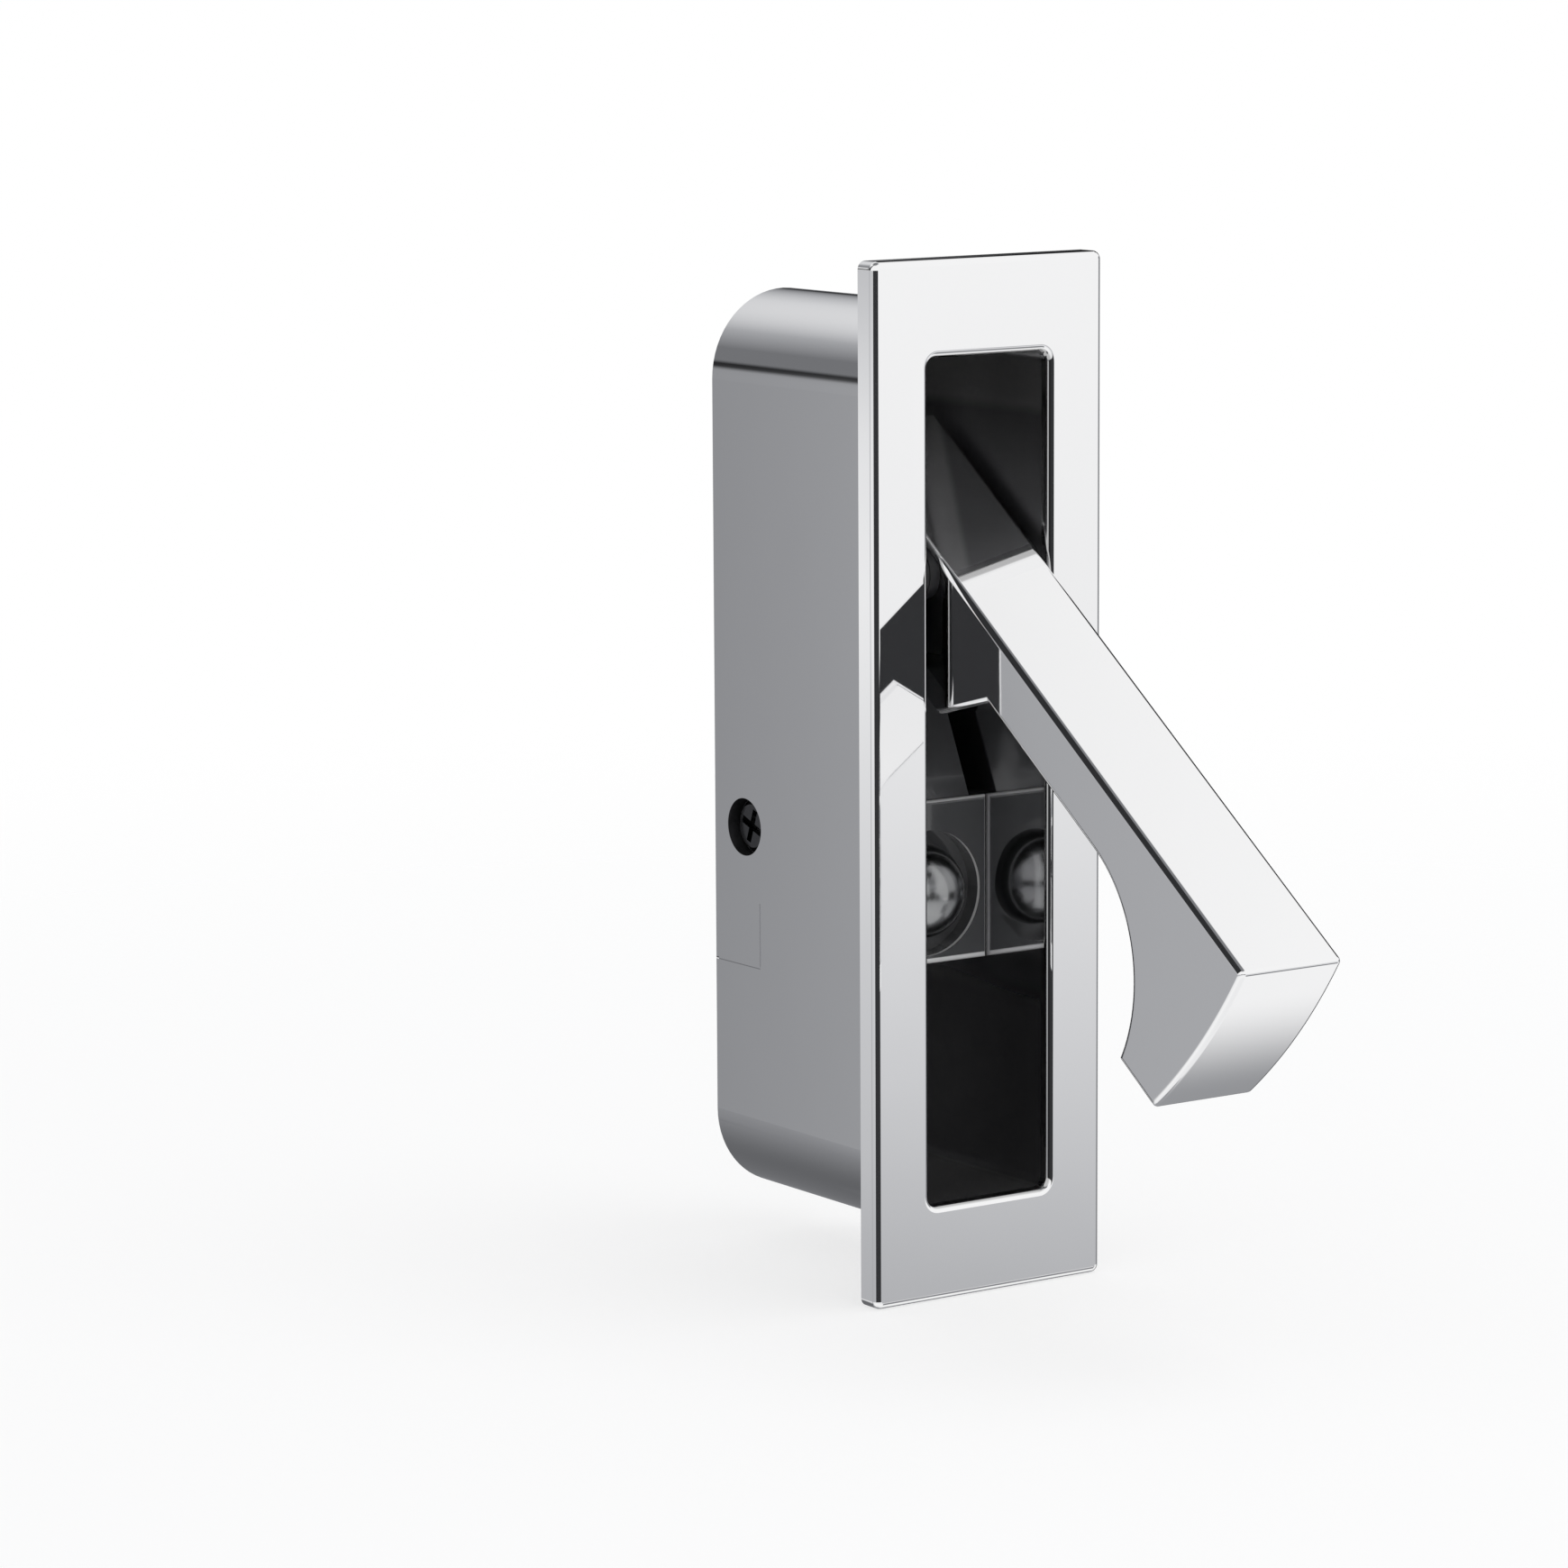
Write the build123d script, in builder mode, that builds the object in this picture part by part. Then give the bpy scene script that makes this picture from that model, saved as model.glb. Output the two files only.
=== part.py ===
import os
from math import asin, cos, radians, sin, sqrt

from build123d import *

os.makedirs("parts", exist_ok=True)

# Face plate. The origin is the centre of its back face, and its front looks along -Y.
plate_w = 27.0
plate_h = 100.0
plate_t = 2.5
plate_corner_r = 0.8
plate_edge_r = 0.65

# Slot in the plate, which runs straight back as the cavity.
throat_w = 14.2
throat_h = 81.4
throat_r = 1.0
lip_r = 0.7

# Case behind the plate.
case_wall = 1.5
case_margin = 4.8
case_d = 32.0
back_t = 1.8
case_edge = 0.5

# Lever. Sizes run up from its lower end and in from its front face.
lever_w = 11.8
lever_gap_top = 2.8
lever_gap_bottom = 2.4
lever_recess = 0.3
lever_edge_r = 0.45
bar_t = 6.1
pivot_from_top = 17.9
pivot_depth = 3.8
heel_depth = 19.1
heel_len = 8.3
finger_r = 14.4
hub_depth = 12.4
hub_below = 10.6
hub_above = 3.6
hub_flank = 7.0
hub_flank_below = 5.2
hub_r = 1.0
end_edge_r = 0.3
open_angle = 54.0

# Pivot.
pin_r = 1.25
pin_running = 0.04
pin_inset = 0.2
washer_r = 2.6
washer_gap = 0.05

# Stop shelf behind the lever's tail.
stop_gap = 0.3
stop_t = 3.2
stop_from_hub = 1.0
stop_short = 0.5

# Fixing block in the cavity.
block_front = 7.3
block_top = -3.2
block_h = 16.1
block_fit = 0.1
block_edge_r = 0.4
tongue_w = 10.8
tongue_rise = 12.0
tongue_back = 6.2

# Fixing screw in a counterbore, under a dome cap in a round recess.
screw_z = -12.3
recess_r = 6.2
recess_d = 2.0
cap_r = 4.75
cap_h = 4.7
cap_spigot = 1.2
cap_gap = 0.1
head_r = 3.4
head_h = 1.7
head_bevel = 0.6
head_clear = 0.1
shank_r = 1.75
shank_clear = 0.45
thread_r = 2.0
thread_gap = 0.3
thread_len = 4.6
point_len = 4.0
point_r = 0.2

# Side screw through the left wall into the block.
side_inset = 5.6
side_z = -7.4
side_hole_r = 2.85
side_head_r = 2.65
side_head_h = 1.5
side_recess = 0.9
side_shank_r = 1.25
side_len = 8.0
side_bevel = 0.5
side_spare = 0.5
cross_w = 0.75
cross_l = 3.4
cross_d = 0.9
cross_turn = 20

# Scribed line on the left wall.
scribe_inset = 8.2
scribe_top = -14.75
scribe_bottom = -21.25
scribe_w = 0.22
scribe_d = 0.15

# How far a cut runs past the faces that it goes through.
cut_spare = 1.0

# Sizes that follow from the ones above.
case_w = throat_w + 2 * case_wall
case_h = plate_h - 2 * case_margin
cavity_end = case_d - back_t
side_y = case_d - side_inset
scribe_y = case_d - scribe_inset
lever_l = throat_h - lever_gap_top - lever_gap_bottom
pivot_y = -plate_t + lever_recess + pivot_depth
pivot_z = throat_h / 2 - lever_gap_top - pivot_from_top
below = lever_l - pivot_from_top
a = radians(open_angle)
lever_plane = Plane(origin=(0, pivot_y, pivot_z), x_dir=(0, cos(a), -sin(a)), z_dir=(1, 0, 0))


def at(depth, up):
    """Where a point of the open lever lies in the YZ plane."""
    x = depth - pivot_depth
    return (pivot_y + x * cos(a) + up * sin(a), pivot_z - x * sin(a) + up * cos(a))


# Body: plate and case in one casting.
tail_a = at(bar_t + stop_gap, hub_above + hub_flank + stop_from_hub)
tail_b = at(bar_t + stop_gap, pivot_from_top - stop_short)
with BuildPart() as body:
    with BuildSketch(Plane.XZ):
        RectangleRounded(plate_w, plate_h, plate_corner_r)
    extrude(amount=plate_t)
    with BuildSketch(Plane.XZ):
        SlotOverall(case_h, case_w, rotation=90)
    extrude(amount=-case_d)
    chamfer(body.faces().sort_by(Axis.Y)[-1].edges(), case_edge)
    with BuildSketch(Plane.XZ.offset(plate_t)):
        RectangleRounded(throat_w, throat_h, throat_r)
    extrude(amount=-(plate_t + cavity_end), mode=Mode.SUBTRACT)
    front = body.faces().sort_by(Axis.Y)[0]
    lip = front.inner_wires()[0].edges()
    rim = front.outer_wire().edges()
    fillet(lip, lip_r)
    fillet(rim, plate_edge_r)
    with BuildSketch(Plane.YZ):
        with BuildLine():
            Polyline(
                tail_a, tail_b, (cavity_end + back_t / 2, tail_b[1]),
                (cavity_end + back_t / 2, tail_b[1] - stop_t - tail_b[1] + tail_a[1]),
                (tail_a[0] + stop_t, tail_a[1] - stop_t), close=True,
            )
        make_face()
    extrude(amount=throat_w / 2 + case_wall / 2, both=True)
    with BuildSketch(Plane.YZ):
        with Locations((pivot_y, pivot_z)):
            Circle(pin_r)
    extrude(amount=case_w, both=True, mode=Mode.SUBTRACT)
    with BuildSketch(Plane.XZ.offset(-cavity_end + cut_spare)):
        with Locations((0, screw_z)):
            Circle(shank_r + shank_clear)
    extrude(amount=-(back_t + 2 * cut_spare), mode=Mode.SUBTRACT)
    with BuildSketch(Plane.YZ.offset(-throat_w / 2 + cut_spare)):
        with Locations((side_y, side_z)):
            Circle(side_hole_r)
    extrude(amount=-(case_wall + 2 * cut_spare), mode=Mode.SUBTRACT)
    with BuildSketch(Plane.YZ.offset(-case_w / 2 + scribe_d)):
        with Locations((scribe_y, (scribe_top + scribe_bottom) / 2)):
            Rectangle(scribe_w, scribe_top - scribe_bottom)
        with Locations(((scribe_y + case_d - case_edge) / 2, scribe_bottom)):
            Rectangle(case_d - case_edge - scribe_y, scribe_w)
    extrude(amount=-cut_spare, mode=Mode.SUBTRACT)
body.part.label = "body"
export_step(body.part, "parts/body.step")

# Lever, drawn closed in its own plane and so built standing open.
end_r = sqrt(below ** 2 + pivot_depth ** 2)


def end_at(depth):
    """Height of the curved lower end at a depth, from the pivot."""
    return -sqrt(end_r ** 2 - (depth - pivot_depth) ** 2)


def loc(depth, up):
    return (depth - pivot_depth, up)


arc_depth = bar_t + finger_r
arc_foot = -below + heel_len
arc_top = arc_foot + sqrt(finger_r ** 2 - (arc_depth - heel_depth) ** 2)
arc_middle = asin((arc_depth - heel_depth) / finger_r) / 2 + radians(45)
arc_mid_depth = arc_depth - finger_r * sin(arc_middle)
arc_mid_up = arc_top - finger_r * cos(arc_middle)
with BuildPart() as lever:
    with BuildSketch(lever_plane) as profile:
        with BuildLine():
            top_back = loc(bar_t, pivot_from_top)
            l1 = Line(loc(0, -below), loc(0, pivot_from_top))
            l2 = Line(l1 @ 1, top_back)
            l3 = Line(l2 @ 1, loc(bar_t, hub_above + hub_flank))
            l4 = Line(l3 @ 1, loc(hub_depth, hub_above))
            l5 = Line(l4 @ 1, loc(hub_depth, -hub_below))
            l6 = Line(l5 @ 1, loc(bar_t, -hub_below - hub_flank_below))
            l7 = Line(l6 @ 1, loc(bar_t, arc_top))
            l8 = ThreePointArc(l7 @ 1, loc(arc_mid_depth, arc_mid_up), loc(heel_depth, arc_foot))
            l9 = Line(l8 @ 1, loc(heel_depth, end_at(heel_depth)))
            l10 = ThreePointArc(l9 @ 1, loc(heel_depth / 2, end_at(heel_depth / 2)), l1 @ 0)
        make_face()
        corners = profile.vertices()
        fillet([corners.sort_by_distance(end)[0] for end in (l4 @ 1, l5 @ 1)], hub_r)
        fillet(profile.vertices().sort_by_distance(l1 @ 0)[0], end_edge_r)
    extrude(amount=lever_w / 2, both=True)
    sides = lever.faces().filter_by(Axis.X)
    fillet(sides.edges(), lever_edge_r)
    with BuildSketch(lever_plane):
        Circle(pin_r + pin_running)
    extrude(amount=lever_w, both=True, mode=Mode.SUBTRACT)
lever.part.label = "lever"
export_step(lever.part, "parts/lever.step")

# Pivot pin, pressed through both walls.
with BuildPart() as pivot_pin:
    with BuildSketch(Plane.YZ.offset(-case_w / 2 + pin_inset)):
        with Locations((pivot_y, pivot_z)):
            Circle(pin_r)
    extrude(amount=case_w - 2 * pin_inset)
pivot_pin.part.label = "pivot_pin"
export_step(pivot_pin.part, "parts/pivot_pin.step")

# Friction washers on the pin, one each side of the lever.
washer_t = (throat_w - lever_w) / 2 - 2 * washer_gap
with BuildPart() as left_washer:
    with BuildSketch(Plane.YZ.offset(-throat_w / 2 + washer_gap)):
        with Locations((pivot_y, pivot_z)):
            Circle(washer_r)
            Circle(pin_r + pin_running, mode=Mode.SUBTRACT)
    extrude(amount=washer_t)
left_washer.part.label = "left_washer"
export_step(left_washer.part, "parts/left_washer.step")

with BuildPart() as right_washer:
    with BuildSketch(Plane.YZ.offset(throat_w / 2 - washer_gap)):
        with Locations((pivot_y, pivot_z)):
            Circle(washer_r)
            Circle(pin_r + pin_running, mode=Mode.SUBTRACT)
    extrude(amount=-washer_t)
right_washer.part.label = "right_washer"
export_step(right_washer.part, "parts/right_washer.step")

# Fixing block, with a narrower tongue that slopes back above it.
block_end = cavity_end - block_fit
block_w = throat_w - 2 * block_fit
recess_floor = block_front + recess_d
head_seat = recess_floor + cap_spigot + cap_gap + head_h
bore_r = head_r + head_clear
with BuildPart() as fixing_block:
    with BuildSketch(Plane.YZ):
        with Locations(((block_front + block_end) / 2, block_top - block_h / 2)):
            Rectangle(block_end - block_front, block_h)
    extrude(amount=block_w / 2, both=True)
    fillet(fixing_block.faces().sort_by(Axis.Y)[0].edges(), block_edge_r)
    with BuildSketch(Plane.YZ):
        with BuildLine():
            Polyline(
                (block_front + 2 * block_edge_r, block_top - cut_spare),
                (block_front + 2 * block_edge_r, block_top),
                (block_front + tongue_back, block_top + tongue_rise),
                (block_end, block_top + tongue_rise),
                (block_end, block_top - cut_spare), close=True,
            )
        make_face()
    extrude(amount=tongue_w / 2, both=True)
    with BuildSketch(Plane.XZ.offset(-block_front)):
        with Locations((0, screw_z)):
            Circle(recess_r)
    extrude(amount=-recess_d, mode=Mode.SUBTRACT)
    with Locations(Plane((0, recess_floor, screw_z), x_dir=(1, 0, 0), z_dir=(0, -1, 0))):
        CounterBoreHole(shank_r + shank_clear, bore_r, head_seat - recess_floor)
    with BuildSketch(Plane.YZ.offset(-case_w / 2)):
        with Locations((side_y, side_z)):
            Circle(side_hole_r)
    extrude(amount=side_recess + side_head_h, mode=Mode.SUBTRACT)
    with BuildSketch(Plane.YZ.offset(-case_w / 2)):
        with Locations((side_y, side_z)):
            Circle(side_shank_r)
    extrude(amount=side_recess + side_head_h + side_len + side_spare, mode=Mode.SUBTRACT)
fixing_block.part.label = "fixing_block"
export_step(fixing_block.part, "parts/fixing_block.step")

# Fixing screw: pan head in the counterbore, plain shank, threaded end as a plain cylinder, point.
head_top = head_seat - head_h
thread_from = case_d + thread_gap
thread_to = thread_from + thread_len
with BuildPart() as fixing_screw:
    with BuildSketch(Plane.XY.offset(screw_z)):
        with BuildLine():
            Polyline(
                (0, head_top), (head_r - head_bevel, head_top), (head_r, head_top + head_bevel),
                (head_r, head_seat), (shank_r, head_seat), (shank_r, thread_from), (thread_r, thread_from),
                (thread_r, thread_to), (point_r, thread_to + point_len), (0, thread_to + point_len),
                close=True,
            )
        make_face()
    revolve(axis=Axis((0, 0, screw_z), (0, 1, 0)))
    with BuildSketch(Plane.XZ.offset(-head_top)):
        with Locations((0, screw_z)):
            Rectangle(cross_l, cross_w)
            Rectangle(cross_w, cross_l)
    extrude(amount=-cross_d, mode=Mode.SUBTRACT)
fixing_screw.part.label = "fixing_screw"
export_step(fixing_screw.part, "parts/fixing_screw.step")

# Dome cap on the recess floor, held by a spigot in the counterbore.
dome_r = (cap_r ** 2 + cap_h ** 2) / (2 * cap_h)
dome_mid = cap_r / 2
with BuildPart() as screw_cap:
    with BuildSketch(Plane.XY.offset(screw_z)):
        with BuildLine():
            c1 = ThreePointArc(
                (0, recess_floor - cap_h),
                (dome_mid, recess_floor - cap_h + dome_r - sqrt(dome_r ** 2 - dome_mid ** 2)),
                (cap_r, recess_floor),
            )
            Polyline(
                c1 @ 1, (head_r, recess_floor), (head_r, recess_floor + cap_spigot),
                (0, recess_floor + cap_spigot), c1 @ 0,
            )
        make_face()
    revolve(axis=Axis((0, 0, screw_z), (0, 1, 0)))
screw_cap.part.label = "screw_cap"
export_step(screw_cap.part, "parts/screw_cap.step")

# Side screw, its cross-recessed head sunk in the wall's hole.
head_x = -case_w / 2 + side_recess
with BuildPart() as side_screw:
    with BuildSketch(Plane.YZ.offset(head_x)):
        with Locations((side_y, side_z)):
            Circle(side_head_r)
    extrude(amount=side_head_h)
    chamfer(side_screw.faces().sort_by(Axis.X)[0].edges(), side_bevel)
    with BuildSketch(Plane.YZ.offset(head_x + side_head_h)):
        with Locations((side_y, side_z)):
            Circle(side_shank_r)
    extrude(amount=side_len)
    with BuildSketch(Plane.YZ.offset(head_x)):
        with Locations((side_y, side_z)):
            Rectangle(cross_l, cross_w, rotation=cross_turn)
            Rectangle(cross_w, cross_l, rotation=cross_turn)
    extrude(amount=cross_d, mode=Mode.SUBTRACT)
side_screw.part.label = "side_screw"
export_step(side_screw.part, "parts/side_screw.step")
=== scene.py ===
from math import asin, atan2, cos, degrees, pi, radians, sin, sqrt, tan, tau

import bmesh
import bpy
from bpy.props import FloatProperty, FloatVectorProperty, PointerProperty
from mathutils import Matrix, Vector


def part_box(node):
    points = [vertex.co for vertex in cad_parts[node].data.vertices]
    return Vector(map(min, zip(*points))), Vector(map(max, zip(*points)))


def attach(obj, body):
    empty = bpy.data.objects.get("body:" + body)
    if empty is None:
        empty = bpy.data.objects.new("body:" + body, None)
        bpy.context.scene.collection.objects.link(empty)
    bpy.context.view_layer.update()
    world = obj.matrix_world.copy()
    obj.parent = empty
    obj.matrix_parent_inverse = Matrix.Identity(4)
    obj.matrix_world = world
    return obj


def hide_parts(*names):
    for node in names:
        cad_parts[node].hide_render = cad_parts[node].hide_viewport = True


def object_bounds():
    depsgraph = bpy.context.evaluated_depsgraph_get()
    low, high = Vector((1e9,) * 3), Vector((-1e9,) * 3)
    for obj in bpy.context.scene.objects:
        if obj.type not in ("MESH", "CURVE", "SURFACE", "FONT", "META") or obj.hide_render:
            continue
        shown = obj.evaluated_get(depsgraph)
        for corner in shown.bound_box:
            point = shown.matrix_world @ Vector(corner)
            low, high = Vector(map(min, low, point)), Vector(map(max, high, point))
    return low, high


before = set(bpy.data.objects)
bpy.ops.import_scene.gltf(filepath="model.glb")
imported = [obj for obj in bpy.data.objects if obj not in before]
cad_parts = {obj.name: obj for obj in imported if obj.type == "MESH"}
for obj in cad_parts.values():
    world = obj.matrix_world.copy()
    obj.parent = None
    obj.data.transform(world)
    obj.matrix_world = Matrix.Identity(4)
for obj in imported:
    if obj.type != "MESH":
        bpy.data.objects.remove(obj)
cad_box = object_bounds()

bl_info = {
    "name": "Sliding door edge pull",
    "version": (1, 0, 0),
    "blender": (4, 5, 0),
    "location": "3D View > Sidebar > Edge pull",
    "description": "Dresses the packed edge pull in polished plating and sets its studio",
    "category": "Object",
}

MM = 0.001


def colour(name, description, default):
    """A colour that a user would change."""
    return FloatVectorProperty(
        name=name, description=description, default=default, subtype="COLOR", size=3, min=0.0, max=1.0
    )


def length(name, description, default):
    """A length in metres."""
    return FloatProperty(name=name, description=description, default=default, unit="LENGTH", precision=5)


def amount(name, description, default):
    """A plain number from 0 to 1."""
    return FloatProperty(name=name, description=description, default=default, min=0.0, max=1.0)


def angle(name, description, default):
    """An angle, given in degrees."""
    return FloatProperty(name=name, description=description, default=radians(default), subtype="ANGLE")


class EdgePullFinish(bpy.types.PropertyGroup):
    """Colours and finishes of the pieces."""

    chrome: colour("Chrome", "Polished plating on the outside", (0.905, 0.905, 0.91))
    chrome_roughness: amount("Chrome roughness", "How soft the plating's reflections are", 0.035)
    throat_chrome: colour("Throat chrome", "Plating beside the fixing block", (0.70, 0.70, 0.71))
    # Deep and hollow tones: partly thin plating and unpolished metal, partly painted shade inside the cavity
    deep_chrome_and_shade: colour("Deep chrome and shade", "Thin plating and painted shade deep in the cavity", (0.30, 0.30, 0.31))
    hollow_chrome_and_shade: colour("Hollow chrome and shade", "Unpolished metal with painted shade above and below the block", (0.52, 0.52, 0.525))
    # Painted shade: a darker tone on the slot's rolled lip, at the mouth of the cavity
    lip_shade: colour("Lip shade", "Painted shade on the slot's rolled lip", (0.50, 0.50, 0.50))
    crown: amount("Crown", "Slope of the plate's narrow sides toward its front", 0.21)
    ripple: amount("Ripple", "How far the cast faces are from dead flat", 0.25)
    block: colour("Block", "Moulded fixing block", (0.066, 0.067, 0.070))
    # Painted highlight: a pale colour along the edges of the block's front, where they catch the light
    block_edge_highlight: colour("Block edge highlight", "Painted highlight along the edges of the block's front", (0.80, 0.80, 0.80))
    cap: colour("Cap", "Dome over the fixing screw", (0.33, 0.335, 0.34))
    nylon: colour("Nylon", "Friction washers, dyed black", (0.022, 0.022, 0.024))
    steel: colour("Steel", "Pin and fixing screw", (0.56, 0.57, 0.58))
    # The side screw's own blackened colour, which also paints shade on the wall of its hole
    dark_steel_and_hole_shade: colour("Dark steel and hole shade", "Side screw, and painted shade in the hole it sits in", (0.11, 0.11, 0.115))


class EdgePullBody(bpy.types.PropertyGroup):
    """Sizes of the body and the block that their finishes follow."""

    plate_roll: length("Plate roll", "Round along the plate's front edges", 0.65 * MM)
    lip: length("Lip", "Round along the slot", 0.7 * MM)
    cavity_reach: length("Cavity reach", "From the middle to the cavity's upper and lower ends", 40.7 * MM)
    block_gap: length("Block gap", "Past the block's sides, to just outside the cavity's walls", 0.1 * MM)
    hollow_gap: length("Hollow gap", "From the block's ends to the unpolished metal", 1.0 * MM)
    # These depths also set where the painted shade in the cavity starts and where it is darkest
    dull_and_shade_from: length("Dull and shade from", "Depth behind the plate where the plating starts to dull and darken with painted shade", 2 * MM)
    dull_and_shade_to: length("Dull and shade to", "Depth behind the plate where the plating is dullest and darkest with painted shade", 16 * MM)
    hole_radius: length("Hole radius", "Hole for the side screw", 2.86 * MM)
    # Width of the painted highlight along the block's front edges
    highlight_width: length("Highlight width", "Painted highlight along the edges of the block's front", 0.40 * MM)


class EdgePullLever(bpy.types.PropertyGroup):
    """Sizes of the lever, up from its pivot and in from its front face."""

    width: length("Width", "Across the lever", 11.8 * MM)
    edge_radius: length("Edge radius", "Round along both sides", 0.60 * MM)
    end_radius: length("End radius", "Round where the front face meets the lower end", 0.45 * MM)
    corner_radius: length("Corner radius", "Round across the other corners", 0.15 * MM)
    pivot_depth: length("Pivot depth", "From the front face to the pin", 3.8 * MM)
    pin_hole: length("Pin hole", "Radius of the hole for the pin", 1.29 * MM)
    above: length("Above", "From the pin to the upper end", 17.9 * MM)
    below: length("Below", "From the pin to the lower end of the front face", 58.3 * MM)
    bar: length("Bar", "Thickness of the bar", 6.1 * MM)
    hub_depth: length("Hub depth", "Thickness at the hub", 12.4 * MM)
    hub_above: length("Hub above", "From the pin to the hub's upper corner", 3.6 * MM)
    hub_below: length("Hub below", "From the pin to the hub's lower corner", 10.6 * MM)
    flank_above: length("Flank above", "Height of the hub's upper slope", 7.0 * MM)
    flank_below: length("Flank below", "Height of the hub's lower slope", 5.2 * MM)
    hub_radius: length("Hub radius", "Round on the hub's corners", 1.0 * MM)
    heel_depth: length("Heel depth", "Thickness at the lower end", 19.1 * MM)
    heel_length: length("Heel length", "Height of the flat back of the lower end", 8.3 * MM)
    finger_radius: length("Finger radius", "Hollow for the fingers", 14.4 * MM)
    open_angle: angle("Open angle", "How far the lever stands out of the slot", 54)


class EdgePullScrew(bpy.types.PropertyGroup):
    """Sizes of the fixing screw."""

    head_height: length("Head height", "From the head's top to its seat", 1.7 * MM)
    head_bevel: length("Head bevel", "Bevel round the head's top", 0.6 * MM)
    cross_length: length("Cross length", "Length of the cross recess", 3.4 * MM)
    cross_width: length("Cross width", "Width of the cross recess", 0.75 * MM)
    cross_depth: length("Cross depth", "Depth of the cross recess", 0.9 * MM)
    shank_radius: length("Shank radius", "Plain shank through the block", 1.75 * MM)
    thread_radius: length("Thread radius", "Over the thread's crests", 2.0 * MM)
    thread_depth: length("Thread depth", "From the crest to the root", 0.55 * MM)
    pitch: length("Pitch", "From one turn of the thread to the next", 1.4 * MM)
    thread_gap: length("Thread gap", "From the case's back to the thread", 0.3 * MM)
    point_length: length("Point length", "Tapered end of the thread", 4.0 * MM)
    point_radius: length("Point radius", "Radius at the very tip", 0.2 * MM)
    root_share: amount("Root share", "Share of the pitch that is root", 0.30)
    flank_share: amount("Flank share", "Share of the pitch that is the thread's flanks", 0.60)


class EdgePullStudio(bpy.types.PropertyGroup):
    """Camera and light."""

    azimuth: angle("Azimuth", "Camera's angle round the part from its front", -34.830)
    elevation: angle("Elevation", "Camera's angle above the level", 8.904)
    roll: angle("Roll", "Camera's turn about its own axis", -0.322)
    distance: length("Distance", "From the part's origin to the camera, along its axis", 557.6 * MM)
    aside: length("Aside", "How far the part stands to the right of the camera's axis", 18.2 * MM)
    above: length("Above", "How far the part stands above the camera's axis", 0.6 * MM)
    focal_length: FloatProperty(
        name="Focal length", description="On a 36 mm sensor", default=133.59, unit="CAMERA"
    )
    floor_colour: colour("Floor", "Plain pale floor", (0.95, 0.95, 0.95))
    floor_drop: length("Floor drop", "From the part down to the floor", 0.05 * MM)
    floor_clear: length("Floor clear", "From the part to where the floor has faded into the room", 0.40)
    floor_lift: amount("Floor lift", "How far the camera sees plain white in place of lit paper", 0.6)
    coolness: amount("Coolness", "How blue the room's greys are", 0.09)
    light_level: amount("Light level", "Soft light from all round", 0.85)
    lamp_power: FloatProperty(name="Lamp power", description="Overhead soft lamp", default=1.0, unit="POWER")
    lamp_size: length("Lamp size", "Across the overhead lamp", 0.5)
    lamp_place: FloatVectorProperty(
        name="Lamp place", description="Where the overhead lamp hangs", default=(0.25, -0.20, 0.65),
        subtype="TRANSLATION", unit="LENGTH",
    )


class Shade:
    """A number in a shader, which plain arithmetic turns into Math nodes."""

    def __init__(self, graph, socket):
        self.graph = graph
        self.socket = socket

    def __add__(self, other):
        return self.graph.math("ADD", self, other)

    def __radd__(self, other):
        return self.graph.math("ADD", other, self)

    def __sub__(self, other):
        return self.graph.math("SUBTRACT", self, other)

    def __rsub__(self, other):
        return self.graph.math("SUBTRACT", other, self)

    def __mul__(self, other):
        return self.graph.math("MULTIPLY", self, other)

    def __rmul__(self, other):
        return self.graph.math("MULTIPLY", other, self)

    def __abs__(self):
        return self.graph.math("ABSOLUTE", self)


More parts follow.
